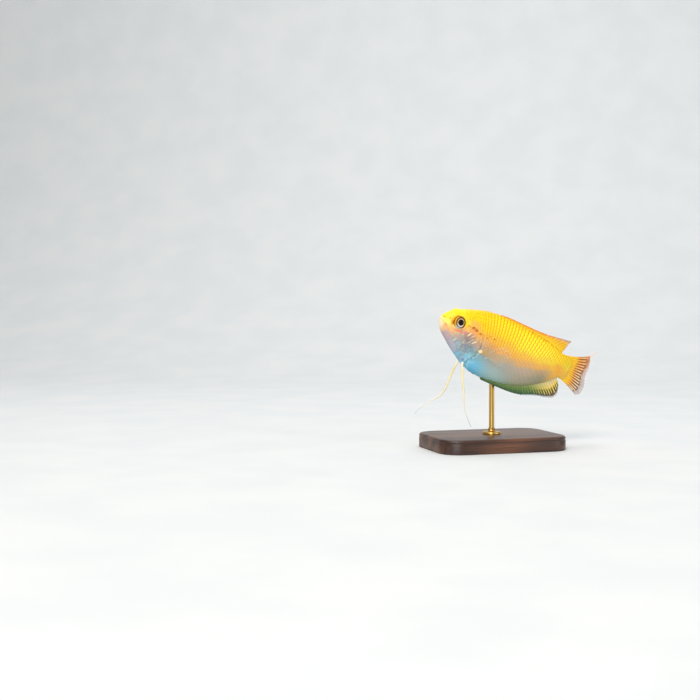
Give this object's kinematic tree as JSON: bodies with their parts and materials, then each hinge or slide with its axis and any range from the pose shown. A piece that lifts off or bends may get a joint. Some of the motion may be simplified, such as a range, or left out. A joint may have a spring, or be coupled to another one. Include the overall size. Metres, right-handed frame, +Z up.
{
  "type": "honey gourami model",
  "caption": "Life-size still model of a honey gourami, nose up with its tail swung aside and thread-like feelers hanging, held on a rod above a flat wooden display base.",
  "frame": {"origin": "centre of the stand's underside, on the surface that it stands on", "axes": "+Z up, the fish's nose points towards -X and its left side towards -Y"},
  "size_m": [0.0583, 0.026, 0.0398],
  "materials": {
    "fish_skin": "painted scales under a satin varnish, golden yellow above, silver grey to blue below",
    "fin": "thin tinted membrane with raised rays, satin",
    "feeler": "smooth creamy thread, satin",
    "eye": "polished, dark pupil in a pale gold ring",
    "stand_wood": "oiled dark wood, satin",
    "stand_rod": "brushed brass"
  },
  "bodies": {
    "root": {"head": "fish_skin", "lower_jaw": "fish_skin", "gill_cover_left": "fish_skin", "gill_cover_right": "fish_skin", "trunk": "fish_skin", "tail_stalk": "fish_skin", "eye_left": "eye", "eye_right": "eye", "dorsal_fin_spiny": "fin", "dorsal_fin_soft": "fin", "anal_fin_spiny": "fin", "anal_fin_soft": "fin", "caudal_fin": "fin", "pectoral_fin_left": "fin", "pectoral_fin_right": "fin", "pelvic_feeler_left": "feeler", "pelvic_feeler_right": "feeler", "stand_base": "stand_wood", "stand_rod": "stand_rod"}
  },
  "joints": []
}
